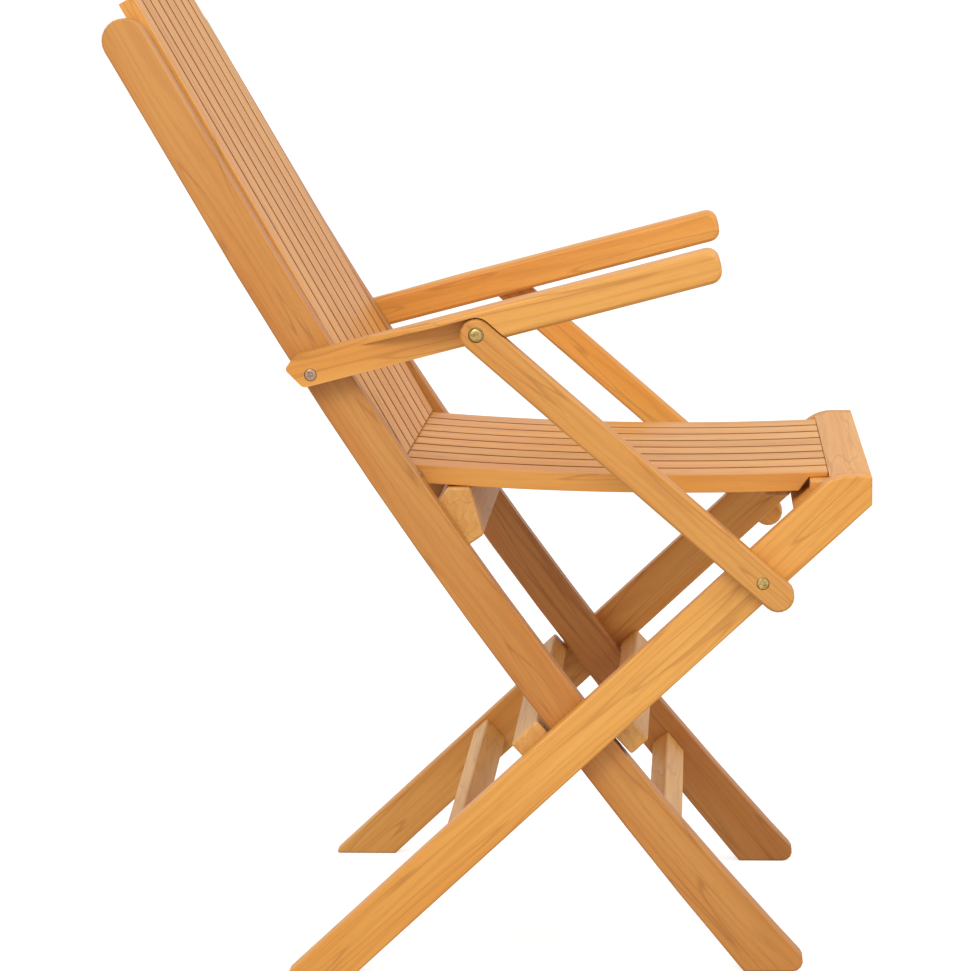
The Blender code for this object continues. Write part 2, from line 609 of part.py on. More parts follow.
def build_strut(word, side, wood, body):
    top_x, top_z = arm_point(STRUT_SCREW_U, STRUT_SCREW_W)
    slope = strut_slope()
    foot = (STRUT_FOOT_X + STRUT_OVERRUN * math.cos(slope), STRUT_FOOT_Z + STRUT_OVERRUN * math.sin(slope))
    radius = STRUT_WIDTH / 2
    quarter = math.pi / 2
    outline = arc((top_x, top_z), radius, slope + quarter, slope + 3 * quarter, 10)
    outline += arc(foot, radius, slope - quarter, slope + quarter, 10)
    strut = board("arm_strut_" + word, outline, side * STRUT_IN, side * STRUT_OUT, wood, body, chamfer=0.002)
    for x, z, head in ((top_x, top_z, WASHER_RADIUS), (STRUT_FOOT_X, STRUT_FOOT_Z, SCREW_HEAD_RADIUS)):
        depth = SCREW_RECESS + SCREW_HEAD_HEIGHT + TOUCH_GAP
        if head == WASHER_RADIUS:
            depth += WASHER_THICKNESS + TOUCH_GAP
        inner, outer = side * (STRUT_IN - GAP_OVERRUN), side * (STRUT_OUT + DRILL_OVERRUN)
        drill(strut, x, z, SCREW_SHANK_RADIUS + HOLE_CLEARANCE, inner, outer)
        drill(strut, x, z, head + SINK_CLEARANCE, side * (STRUT_OUT - depth), outer)


def build_screw(name, x, z, side, face_y, end_y, metal, body):
    """A socket-head screw: its head just below the wood's face, its end deep in the board behind."""
    head_y = face_y - SCREW_RECESS
    neck_y = head_y - SCREW_HEAD_HEIGHT
    profile = [(0.0, head_y), (SCREW_HEAD_RADIUS - SCREW_EDGE, head_y),
               (SCREW_HEAD_RADIUS, head_y - SCREW_EDGE), (SCREW_HEAD_RADIUS, neck_y),
               (SCREW_SHANK_RADIUS, neck_y), (SCREW_SHANK_RADIUS, end_y), (0.0, end_y)]
    screw = turned(name, profile, x, z, side, metal, body)
    socket = arc((x, z), SOCKET_ACROSS_FLATS / math.sqrt(3), 0.0, 2 * math.pi, 6)[:-1]
    cutter = prism_cutter(name + "_socket", socket, side * (head_y - SOCKET_DEPTH), side * (head_y + 0.001))
    cut(screw, cutter, "socket")


def build_washer(name, x, z, side, outer_y, metal, body):
    hole = SCREW_SHANK_RADIUS + HOLE_CLEARANCE
    inner_y = outer_y - WASHER_THICKNESS
    profile = [(hole, outer_y), (WASHER_RADIUS, outer_y), (WASHER_RADIUS, inner_y), (hole, inner_y),
               (hole, outer_y)]
    turned(name, profile, x, z, side, metal, body)


def main():
    for obj in list(bpy.data.objects):
        bpy.data.objects.remove(obj)
    for collection in (PARTS, CUTTERS):
        bpy.context.scene.collection.children.link(collection)

    teak = make_material("oiled_teak", (0.62, 0.32, 0.10), 0.45)
    rail_teak = make_material("teak_rails", (0.58, 0.33, 0.14), 0.50)
    steel = make_material("zinc_plated_steel", (0.62, 0.60, 0.55), 0.35, 1.0)
    brass = make_material("brass", (0.70, 0.55, 0.25), 0.30, 1.0)

    frame = body_empty("back_frame_body", 0.0, 0.0)
    build_stiles(teak, frame)
    build_back(teak, frame)
    build_frame_rails(rail_teak, frame)

    legs = body_empty("rear_leg_body", PIVOT_X, PIVOT_Z)
    build_rear_legs(teak, legs)
    build_plank(teak, legs)
    build_leg_rails(rail_teak, legs)

    seat = body_empty("seat_body", SEAT_PIVOT_X, SEAT_PIVOT_Z)
    build_seat(teak, steel, seat)

    strut_x, strut_z = arm_point(STRUT_SCREW_U, STRUT_SCREW_W)
    for word, side in SIDES.items():
        pin_out = LEG_IN + PIVOT_PIN_REACH
        pin_in = STILE_OUT - PIVOT_PIN_REACH
        profile = [(0.0, pin_out), (PIVOT_PIN_RADIUS, pin_out), (PIVOT_PIN_RADIUS, pin_in), (0.0, pin_in)]
        turned("leg_pivot_pin_" + word, profile, PIVOT_X, PIVOT_Z, side, steel, frame)
        arm_body = body_empty("armrest_%s_body" % word, ARM_PIVOT_X, ARM_PIVOT_Z)
        build_armrest(word, side, teak, arm_body)
        strut_body = body_empty("arm_strut_%s_body" % word, strut_x, strut_z)
        build_strut(word, side, teak, strut_body)
        build_screw("armrest_screw_" + word, ARM_PIVOT_X, ARM_PIVOT_Z, side, LEG_OUT, STILE_OUT - ARM_SCREW_BITE,
                    steel, frame)
        washer_y = STRUT_OUT - SCREW_RECESS - SCREW_HEAD_HEIGHT - TOUCH_GAP
        build_screw("strut_top_screw_" + word, strut_x, strut_z, side, STRUT_OUT,
                    LEG_OUT - STRUT_SCREW_BITE, brass, arm_body)
        build_washer("strut_top_washer_" + word, strut_x, strut_z, side, washer_y, brass, arm_body)
        # the lower screw stays with the strut and stops just short of the rear leg
        build_screw("strut_foot_screw_" + word, STRUT_FOOT_X, STRUT_FOOT_Z, side, STRUT_OUT,
                    STRUT_IN, brass, strut_body)


main()
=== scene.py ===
# %% [markdown]
# A folding teak armchair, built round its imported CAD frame.
# The frame gives every solid its place and says which pieces move together.
# This lesson gives each piece its finished wood or metal surface, in the same metres.

# %% Load the frame
import json
import math

import bmesh
import bpy
from mathutils import Matrix, Vector

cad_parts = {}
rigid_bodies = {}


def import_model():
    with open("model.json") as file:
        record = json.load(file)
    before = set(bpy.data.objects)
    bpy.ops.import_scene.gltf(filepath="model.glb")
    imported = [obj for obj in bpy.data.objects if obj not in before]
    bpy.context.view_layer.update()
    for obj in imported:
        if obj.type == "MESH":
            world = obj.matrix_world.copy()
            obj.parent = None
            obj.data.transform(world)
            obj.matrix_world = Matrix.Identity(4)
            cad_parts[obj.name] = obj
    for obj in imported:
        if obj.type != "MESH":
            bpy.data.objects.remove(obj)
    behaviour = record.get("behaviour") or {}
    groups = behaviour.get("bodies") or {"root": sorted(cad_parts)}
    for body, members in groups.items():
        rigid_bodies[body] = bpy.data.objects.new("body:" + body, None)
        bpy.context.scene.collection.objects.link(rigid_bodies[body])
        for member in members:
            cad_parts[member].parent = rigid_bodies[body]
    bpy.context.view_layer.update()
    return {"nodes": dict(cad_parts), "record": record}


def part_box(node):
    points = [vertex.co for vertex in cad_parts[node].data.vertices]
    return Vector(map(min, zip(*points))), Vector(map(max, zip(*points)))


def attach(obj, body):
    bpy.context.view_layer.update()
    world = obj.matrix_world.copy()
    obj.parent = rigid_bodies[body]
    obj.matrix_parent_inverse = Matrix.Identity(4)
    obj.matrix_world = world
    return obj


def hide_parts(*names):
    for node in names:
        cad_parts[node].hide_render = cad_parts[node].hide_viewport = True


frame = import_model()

BODIES = frame["record"]["behaviour"]["bodies"]
BODY_OF = {node: body for body, nodes in BODIES.items() for node in nodes}

# %% [markdown]
# Colours are chosen as sRGB hex values, the way a paint chart gives them.
# Blender's shaders work in linear light, so one function turns one into the other.

# %% Colours
def linear(hex_colour):
    """Linear RGBA from an sRGB hex value."""
    channels = [int(hex_colour[i:i + 2], 16) / 255 for i in (1, 3, 5)]
    return [c / 12.92 if c <= 0.04045 else ((c + 0.055) / 1.055) ** 2.4 for c in channels] + [1.0]


# %% [markdown]
# Shader trees and Geometry Nodes trees are both nodes joined by links.
# One small function adds a node, sets its settings, and fills each input with a value or a link.

# %% Add a node
def add(tree, kind, inputs=None, **settings):
    """A node whose inputs are given as {socket name or number: value, or the output it is linked from}."""
    made = tree.nodes.new(kind)
    for setting, value in settings.items():
        setattr(made, setting, value)
    for key, value in (inputs or {}).items():
        if isinstance(value, bpy.types.NodeSocket):
            tree.links.new(value, made.inputs[key])
        else:
            made.inputs[key].default_value = value
    return made


# %% [markdown]
# Teak is a golden brown hardwood with a straight, close grain.
# Planed, sanded and rubbed with oil it has a low sheen: IOR 1.5, roughness a little under a half.
# Four things make its figure: broad bands where the saw met the growth rings, about 9 mm apart,
# thin dark lines along single rings, streaks 1 to 4 mm wide that run for a hand's length,
# and short dark pores.
# The thin lines are where a slow noise passes through its middle value, as height lines do on a map.
# A real pore is 0.2 mm wide, too fine to show, so it is drawn about 0.7 mm wide.
# Every wooden piece carries its own grain coordinates in an attribute called grain:
# metres along the board, across it and through it, so that the figure turns with the board.
# An attribute called board shifts the figure, so no two boards are cut from the same place,
# and one called tone says how dark the board is; between the slats and on the left stile it also carries
# painted shade.

# %% Oiled teak
# The same colour, at a higher tone, is the painted shade between the slats and on the left stile.
DARK_BOARD_AND_SHADE = "#b29496"   # what a board of tone 1 keeps of the light
PORE_WIDTH_MM = 0.7
STREAK_WIDTH_MM = 3.2
BAND_WIDTH_MM = 9.0
FIGURE_WIDTH_MM = 34.0
RING_WIDTH_MM = 17.0
BOARD_SHIFT = (13.7, 2.9, 5.3)     # how far the figure moves for each step of board number
BAND_STRETCH = (0.11, 1.0, 0.45)   # bands are long, and change slowly through the board
BAND_WANDER = (0.0, 0.055, 0.0)    # how far the slow noise pushes the bands aside, in metres
GRAIN_DEPTH = 0.0003


def stretched_noise(tree, grain, width_mm, stretch, detail, roughness=0.5):
    """Noise drawn out along the grain: features width_mm across and stretch times as long."""
    across = 1000 / width_mm
    size = (across / stretch, across, across)
    scaled = add(tree, "ShaderNodeVectorMath", {0: grain, 1: size}, operation="MULTIPLY")
    noise = add(tree, "ShaderNodeTexNoise", {"Vector": scaled.outputs[0], "Scale": 1.0, "Detail": detail,
                                             "Roughness": roughness})
    return noise.outputs[0]


def oiled_teak(name, pale, golden, dark, deep):
    """Planed and oiled teak."""
    material = bpy.data.materials.new(name)
    material.use_nodes = True
    tree = material.node_tree
    shader = tree.nodes["Principled BSDF"]
    grain = add(tree, "ShaderNodeAttribute", attribute_name="grain").outputs["Vector"]
    board = add(tree, "ShaderNodeAttribute", attribute_name="board").outputs["Fac"]
    tone = add(tree, "ShaderNodeAttribute", attribute_name="tone").outputs["Fac"]
    shift = add(tree, "ShaderNodeVectorMath", {0: BOARD_SHIFT, "Scale": board},
                operation="SCALE").outputs[0]
    place = add(tree, "ShaderNodeVectorMath", {0: grain, 1: shift}, operation="ADD").outputs[0]
    figure = stretched_noise(tree, place, FIGURE_WIDTH_MM, 11, 2.0)
    streaks = stretched_noise(tree, place, STREAK_WIDTH_MM, 45, 3.0, 0.6)
    pores = stretched_noise(tree, place, PORE_WIDTH_MM, 22, 1.0)
    rings = stretched_noise(tree, place, RING_WIDTH_MM, 16, 1.0)
    flat = add(tree, "ShaderNodeVectorMath", {0: place, 1: BAND_STRETCH},
               operation="MULTIPLY").outputs[0]
    wander = add(tree, "ShaderNodeVectorMath", {0: BAND_WANDER, "Scale": figure},
                 operation="SCALE").outputs[0]
    bent = add(tree, "ShaderNodeVectorMath", {0: flat, 1: wander}, operation="ADD").outputs[0]
    wave_scale = 2 * math.pi / (20 * BAND_WIDTH_MM / 1000)
    bands = add(tree, "ShaderNodeTexWave", {"Vector": bent, "Scale": wave_scale, "Distortion": 1.2,
                                            "Detail": 2.0, "Detail Scale": 1.5},
                bands_direction="Y", wave_profile="SIN").outputs["Fac"]
    share = add(tree, "ShaderNodeMapRange", {0: figure, 1: 0.30, 2: 0.72},
                interpolation_type="SMOOTHSTEP").outputs[0]
    colour = add(tree, "ShaderNodeMix", {0: share, 6: linear(golden), 7: linear(pale)},
                 data_type="RGBA").outputs[2]
    level = add(tree, "ShaderNodeMath", {0: rings, 1: 0.5}, operation="SUBTRACT").outputs[0]
    off_line = add(tree, "ShaderNodeMath", {0: level}, operation="ABSOLUTE").outputs[0]
    # Each mark: where it starts to show, where it shows fully, how strongly, and its colour.
    marks = ((bands, 0.45, 1.0, 0.16, dark), (streaks, 0.50, 0.82, 0.20, dark),
             (off_line, 0.020, 0.0, 0.42, dark), (pores, 0.60, 0.74, 0.15, deep))
    for mark, low, high, strength, stain in marks:
        amount = add(tree, "ShaderNodeMapRange", {0: mark, 1: low, 2: high, 4: strength},
                     interpolation_type="SMOOTHSTEP").outputs[0]
        colour = add(tree, "ShaderNodeMix", {0: amount, 6: colour, 7: linear(stain)},
                     data_type="RGBA").outputs[2]
    colour = add(tree, "ShaderNodeMix", {0: tone, 6: colour, 7: linear(DARK_BOARD_AND_SHADE)},
                 data_type="RGBA", blend_type="MULTIPLY").outputs[2]
    tree.links.new(colour, shader.inputs["Base Color"])
    height = add(tree, "ShaderNodeMath", {0: streaks, 1: pores}, operation="ADD").outputs[0]
    bump = add(tree, "ShaderNodeBump", {"Strength": 0.25, "Distance": GRAIN_DEPTH, "Height": height})
    tree.links.new(bump.outputs[0], shader.inputs["Normal"])
    sheen = add(tree, "ShaderNodeMapRange", {0: streaks, 3: 0.40, 4: 0.54}).outputs[0]
    tree.links.new(sheen, shader.inputs["Roughness"])
    shader.inputs["IOR"].default_value = 1.5
    print(name, "has", len(tree.nodes), "nodes")
    return material


TEAK = oiled_teak("oiled_teak", "#dfa14b", "#d58e36", "#a46420", "#744214")
RAIL_TEAK = oiled_teak("oiled_teak_rails", "#dda95c", "#cf9347", "#a66d30", "#76481f")

# %% [markdown]
# The screws are steel with a bright zinc coat, which has gone a little coppery outdoors,
# and solid brass, which keeps a warm satin shine. Both are turned, so the finish is fine rings;
# a slight change of roughness stands for them, because a real ring is a few hundredths
# of a millimetre wide.

# %% Zinc-plated steel and brass
PATCH_SCALE = 330.0   # about 3 mm for each patch of tarnish


def turned_metal(name, colour, stain, roughness):
    """A small turned metal part with a light tarnish in cloudy patches about 3 mm wide."""
    material = bpy.data.materials.new(name)
    material.use_nodes = True
    tree = material.node_tree
    shader = tree.nodes["Principled BSDF"]
    place = add(tree, "ShaderNodeTexCoord").outputs["Object"]
    cloud = add(tree, "ShaderNodeTexNoise", {"Vector": place, "Scale": PATCH_SCALE,
                                             "Detail": 3.0}).outputs[0]
    patches = add(tree, "ShaderNodeMapRange", {0: cloud, 1: 0.40, 2: 0.75},
                  interpolation_type="SMOOTHSTEP").outputs[0]
    tarnished = add(tree, "ShaderNodeMix", {0: patches, 6: linear(colour), 7: linear(stain)},
                    data_type="RGBA").outputs[2]
    tree.links.new(tarnished, shader.inputs["Base Color"])
    rough = add(tree, "ShaderNodeMapRange", {0: cloud, 3: roughness - 0.06, 4: roughness + 0.12}).outputs[0]
    tree.links.new(rough, shader.inputs["Roughness"])
    shader.inputs["Metallic"].default_value = 1.0
    return material


ZINC = turned_metal("zinc_plated_steel", "#c4a592", "#8d6a55", 0.34)
BRASS = turned_metal("satin_brass", "#d9bd7c", "#a78846", 0.28)

# %% [markdown]
# Each board below starts as a copy of its CAD solid, which already has its true outline, holes and recess.
# The CAD solid has flat chamfers. On the real chair a router has rounded every long edge,
# so the chamfers' own edges are bevelled again, and the flat faces keep their flat shading.
# The grain attribute is worked out for each vertex from where the board's length runs.

# %% Rounded boards with grain
SAME_POINT = 0.00002              # points nearer than this are one point, in metres
FLAT_WITHIN = math.radians(0.6)   # faces that bend less than this are one flat face
CHAMFER_BENDS = 28, 65            # a chamfer's edges bend between these, in degrees
SHARP_BEND = math.radians(30)     # on other pieces, edges that bend more than this are rounded


def write_grain(mesh, grain_of, board, tone):
    """Store the three attributes that the teak reads."""
    grain = mesh.attributes.new("grain", "FLOAT_VECTOR", "POINT")
    for vertex, value in zip(mesh.vertices, grain.data):
        value.vector = grain_of(vertex.co)
    for name, number in (("board", board), ("tone", tone)):
        attribute = mesh.attributes.new(name, "FLOAT", "POINT")
        attribute.data.foreach_set("value", [number] * len(mesh.vertices))


def finished(obj):
    """Replace an object by a plain mesh of what its modifiers make, and return the new object."""
    name = obj.name
    bpy.context.view_layer.update()
    mesh = bpy.data.meshes.new_from_object(obj.evaluated_get(bpy.context.evaluated_depsgraph_get()))
    bpy.data.objects.remove(obj)
    mesh.name = name
    plain = bpy.data.objects.new(name, mesh)
    bpy.context.collection.objects.link(plain)
    return plain


def rounded_edges(obj, width, segments, by_weight):
    """Bevel, then shade so that flat faces look flat and rounded edges look round."""
    bevel = obj.modifiers.new("rounded", "BEVEL")
    bevel.width = width
    bevel.segments = segments
    bevel.limit_method = "WEIGHT" if by_weight else "ANGLE"
    bevel.angle_limit = SHARP_BEND
    weighted = obj.modifiers.new("flat_faces", "WEIGHTED_NORMAL")
    weighted.keep_sharp = True
    return finished(obj)


def rounded_board(node, name, material, grain_of, board, tone, width=0.0006, segments=2):
    """A CAD board with its chamfers rounded, standing for the CAD node."""
    solid = bmesh.new()
    solid.from_mesh(frame["nodes"][node].data)
    bmesh.ops.remove_doubles(solid, verts=solid.verts, dist=SAME_POINT)
    bmesh.ops.dissolve_limit(solid, angle_limit=FLAT_WITHIN, verts=solid.verts, edges=solid.edges)
    weight = solid.edges.layers.float.new("bevel_weight_edge")
    least, most = CHAMFER_BENDS
    for edge in solid.edges:
        bend = math.degrees(edge.calc_face_angle(0.0))
        edge[weight] = 1.0 if least < bend < most else 0.0
        edge.smooth = bend < most
    for face in solid.faces:
        face.smooth = True
    mesh = bpy.data.meshes.new(name)
    solid.to_mesh(mesh)
    solid.free()
    mesh.materials.append(material)
    piece = bpy.data.objects.new(name, mesh)
    bpy.context.collection.objects.link(piece)
    piece = rounded_edges(piece, width, segments, True)
    write_grain(piece.data, grain_of, board, tone)
    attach(piece, BODY_OF[node])
    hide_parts(node)
    return piece


# %% [markdown]
# The rear legs, armrests and struts are straight, so their grain runs at one angle in the side view.
# The rails and the front plank run across the chair, so theirs runs along Y.
# The stile is bent: its grain follows a long arc of 4.4 m radius below the straight top part.

# %% Where the grain runs
STILE_ANGLE = math.radians(60.24)
STILE_BEND = Vector((-0.2456, 0.7131))
STILE_RADIUS = 4.409


def along_angle(degrees):
    """Grain of a straight board at this angle in the side view."""
    c, s = math.cos(math.radians(degrees)), math.sin(math.radians(degrees))
    return lambda p: (p.x * c + p.z * s, p.z * c - p.x * s, p.y)


def across_chair(p):
    """Grain of a board that runs from side to side."""
    return (p.y, p.x, p.z)


def along_stile(p):
    """Grain of the stile, straight above the bend and on an arc below it."""
    c, s = math.cos(STILE_ANGLE), math.sin(STILE_ANGLE)
    x, z = p.x - STILE_BEND.x, p.z - STILE_BEND.y
    if x * -c + z * s > 0:
        return (x * -c + z * s, x * s + z * c, p.y)
    centre_x, centre_z = STILE_RADIUS * s, STILE_RADIUS * c
    angle = math.atan2(centre_x - x, centre_z - z)
    reach = math.hypot(centre_x - x, centre_z - z)
    return (-(STILE_ANGLE - angle) * STILE_RADIUS, STILE_RADIUS - reach, p.y)


# %% [markdown]
# The chair's frame is sawn from 22 mm boards. Each is a CAD board with its finish, and three things differ:
# where the grain runs, which board it was cut from, and how dark that board was.
# The stiles were cut from darker boards than the rear legs. The left stile is darker than the right one,
# partly its own tone and partly painted shade for the shade under the seat;
# the left rear leg is a little darker than the right one, and the right armrest and strut than the left
# ones.
# An armrest is handled the most, so its edges are rounded the most.

# %% Stiles, legs, armrests, struts and rails
LEG_DEGREES = 42.83
ARM_DEGREES = 14.4
STRUT_DEGREES = -41.2

# node: new name, grain, board numbers (right, left), tones (right, left), rounding and its steps
# The left stile's tone, above the right one's, is partly painted shade for the shade under the seat.
SIDE_BOARDS = {
    "stile": ("bent_stile", along_stile, (1.0, 3.31), (0.50, 0.64), 0.0006, 2),
    "rear_leg": ("crossed_leg", along_angle(LEG_DEGREES), (2.0, 4.17), (0.04, 0.22), 0.0006, 2),
    "armrest": ("armrest_board", along_angle(ARM_DEGREES), (3.0, 4.61), (0.16, 0.0), 0.0012, 3),
    "arm_strut": ("strut_board", along_angle(STRUT_DEGREES), (4.0, 5.43), (0.34, 0.0), 0.0008, 3),
}
for which, side in enumerate(("right", "left")):
    for node, (name, grain_of, boards, tones, width, segments) in SIDE_BOARDS.items():
        rounded_board("%s_%s" % (node, side), "%s_%s" % (name, side), TEAK, grain_of,
                      boards[which], tones[which], width, segments)

RAILS = {"seat_support_rail": 0.10, "front_leg_stretcher": 0.0, "stop_rail_rear": 0.12,
         "stop_rail_front": 0.10, "rear_leg_stretcher": 0.05, "back_top_rail": 0.20,
         "back_lower_rail": 0.20, "seat_batten": 0.35}
FIRST_RAIL, RAIL_STEP = 10.0, 1.37   # board numbers
for number, (node, tone) in enumerate(RAILS.items()):
    rounded_board(node, node + "_bar", RAIL_TEAK, across_chair,
                  FIRST_RAIL + RAIL_STEP * number, tone)
rounded_board("front_plank", "front_plank_board", TEAK, across_chair, 9.2, 0.05)
print("boards:", len([o for o in bpy.data.objects if "grain" in getattr(o.data, "attributes", {})]))

# %% [markdown]
# The seat and the back are rows of equal slats, so a row is a rule: one slat, a count and a gap.
# Geometry Nodes states that rule. Both trees end the same way, so that part is made by one function:
# it stands the slat on a line of points, gives each copy its own board number and tone,
# turns the copies into real mesh and sets the material.

# %% The row that both trees share
# Painted shade: the faces inside the gaps between slats get this tone to stand for the shade there.
GAP_PAINTED_SHADE_TONE = 2.2            # between slats: past 1, so that the rounded edge beside the gap darkens too
SLAT_ROUNDING = 0.0006
SLAT_TONES = 0.0, 0.16    # palest and darkest slat
FIRST_SLAT, SLAT_STEP = 20.0, 1.618   # board numbers


def new_tree(name, sizes):
    """A Geometry Nodes tree with a geometry output and named number inputs, each with its own default."""
    tree = bpy.data.node_groups.new(name, "GeometryNodeTree")
    tree.interface.new_socket("Geometry", in_out="INPUT", socket_type="NodeSocketGeometry")
    tree.interface.new_socket("Geometry", in_out="OUTPUT", socket_type="NodeSocketGeometry")
    for label, value in sizes.items():
        kinds = {int: "NodeSocketInt", float: "NodeSocketFloat", tuple: "NodeSocketVector"}
        kind = kinds.get(type(value), "NodeSocketMaterial")
        socket = tree.interface.new_socket(label, in_out="INPUT", socket_type=kind)
        socket.default_value = value
    given = add(tree, "NodeGroupInput")
    return tree, given.outputs


def finish_row(tree, given, slat):
    """Repeat the slat along Y, centred, and set the material."""
    pitch = add(tree, "ShaderNodeMath", {0: given["Slat width"], 1: given["Gap"]},
                operation="ADD").outputs[0]
    steps = add(tree, "ShaderNodeMath", {0: given["Count"], 1: 1.0}, operation="SUBTRACT").outputs[0]
    reach = add(tree, "ShaderNodeMath", {0: pitch, 1: steps}, operation="MULTIPLY").outputs[0]
    start = add(tree, "ShaderNodeMath", {0: reach, 1: -0.5}, operation="MULTIPLY").outputs[0]
    first = add(tree, "ShaderNodeCombineXYZ", {"Y": start}).outputs[0]
    step = add(tree, "ShaderNodeCombineXYZ", {"Y": pitch}).outputs[0]
    line = add(tree, "GeometryNodeMeshLine", {"Count": given["Count"], "Start Location": first,
                                              "Offset": step}).outputs[0]
    copies = add(tree, "GeometryNodeInstanceOnPoints", {"Points": line, "Instance": slat}).outputs[0]
    index = add(tree, "GeometryNodeInputIndex").outputs[0]
    board = add(tree, "ShaderNodeMath", {0: index, 1: SLAT_STEP, 2: FIRST_SLAT},
                operation="MULTIPLY_ADD").outputs[0]
    palest, darkest = SLAT_TONES
    tone = add(tree, "FunctionNodeRandomValue",
               {2: palest, 3: darkest, "ID": index, "Seed": given["Seed"]}, data_type="FLOAT").outputs[1]
    for name, value in (("board", board), ("tone", tone)):
        copies = add(tree, "GeometryNodeStoreNamedAttribute",
                     {"Geometry": copies, "Name": name, "Value": value},
                     data_type="FLOAT", domain="INSTANCE").outputs[0]
    real = add(tree, "GeometryNodeRealizeInstances", {"Geometry": copies}).outputs[0]
    coated = add(tree, "GeometryNodeSetMaterial", {"Geometry": real, "Material": given["Material"]})
    add(tree, "NodeGroupOutput", {0: coated.outputs[0]})


def thicken(tree, sheet, thickness, lift_where, lift):
    """A closed slat under a sheet that faces up, with some of its underside moved by lift."""
    below = add(tree, "ShaderNodeMath", {0: thickness, 1: -1.0}, operation="MULTIPLY").outputs[0]
    down = add(tree, "ShaderNodeCombineXYZ", {"Z": below}).outputs[0]
    facing_down = add(tree, "GeometryNodeFlipFaces", {0: sheet}).outputs[0]
    walls = add(tree, "GeometryNodeExtrudeMesh", {"Mesh": facing_down, "Offset": down, "Offset Scale": 1.0,
                                                  "Individual": False}, mode="FACES")
    moved = add(tree, "FunctionNodeBooleanMath", {0: walls.outputs["Top"], 1: lift_where},
                operation="AND").outputs[0]
    shaped = add(tree, "GeometryNodeSetPosition", {"Geometry": walls.outputs[0], "Selection": moved,
                                                   "Offset": lift}).outputs[0]
    both = add(tree, "GeometryNodeJoinGeometry")
    tree.links.new(shaped, both.inputs[0])
    tree.links.new(sheet, both.inputs[0])
    closed = add(tree, "GeometryNodeMergeByDistance", {"Geometry": both.outputs[0], "Distance": 0.00001})
    position = add(tree, "GeometryNodeInputPosition").outputs[0]
    return add(tree, "GeometryNodeStoreNamedAttribute",
               {"Geometry": closed.outputs[0], "Name": "grain", "Value": position},
               data_type="FLOAT_VECTOR").outputs[0]


def paint_gap_shade(mesh):
    """Paint shade between two slats: the points of the faces inside the gaps get a darker tone."""
    outer = max(vertex.co.y for vertex in mesh.vertices)
    tone = mesh.attributes["tone"].data
    for vertex in mesh.vertices:
        if abs(vertex.normal.y) > 0.6 and abs(vertex.co.y) < outer - 0.001:
            tone[vertex.index].value = GAP_PAINTED_SHADE_TONE


def row_piece(name, tree, sizes, place, body, width):
    """Run a tree on an empty object, round the edges, set the result in its place and let it ride."""
    piece = bpy.data.objects.new(name, bpy.data.meshes.new(name))
    bpy.context.collection.objects.link(piece)
    row = piece.modifiers.new("row", "NODES")
    row.node_group = tree
    for socket in tree.interface.items_tree:
        if socket.in_out == "INPUT" and socket.name in sizes:
            row[socket.identifier] = sizes[socket.name]
    piece = rounded_edges(piece, width, 3, False) if width else finished(piece)
    piece.data.transform(place)
    piece.data.materials.clear()
    piece.data.materials.append(sizes["Material"])
    for face in piece.data.polygons:
        face.material_index = 0
    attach(piece, body)
    print(name, "has", len(piece.data.polygons), "faces for a row of", sizes["Count"])
    return piece


# %% [markdown]
# A seat slat is dished: its upper face lies on a circle of 3 m radius, lowest a little ahead of the middle.
# Behind the front plank its lower half is cut away, and a thin tongue goes on over the plank's ledge.
# The tree starts from a flat strip with one pair of points for each station along the slat.
# Each station gets its distance from the rear end, and its height from the circle.
# The last two stations are kept for the notch, and the tongue's underside is then lifted.

# %% Dished seat slats
SLAT_COUNT, SLAT_WIDTH, SLAT_GAP = 8, 0.042, 0.007
STATIONS = 26
SEAT = {"Count": SLAT_COUNT, "Slat width": SLAT_WIDTH, "Gap": SLAT_GAP, "Rear end": -0.0915,
        "Notch foot": 0.27852, "Notch": 0.2879, "Tongue end": 0.3050,
        "Lowest point": 0.1715, "Lowest height": 0.4544,
        "Dish radius": 3.0, "Thickness": 0.0165, "Tongue": 0.0045, "Seed": 4, "Material": TEAK}


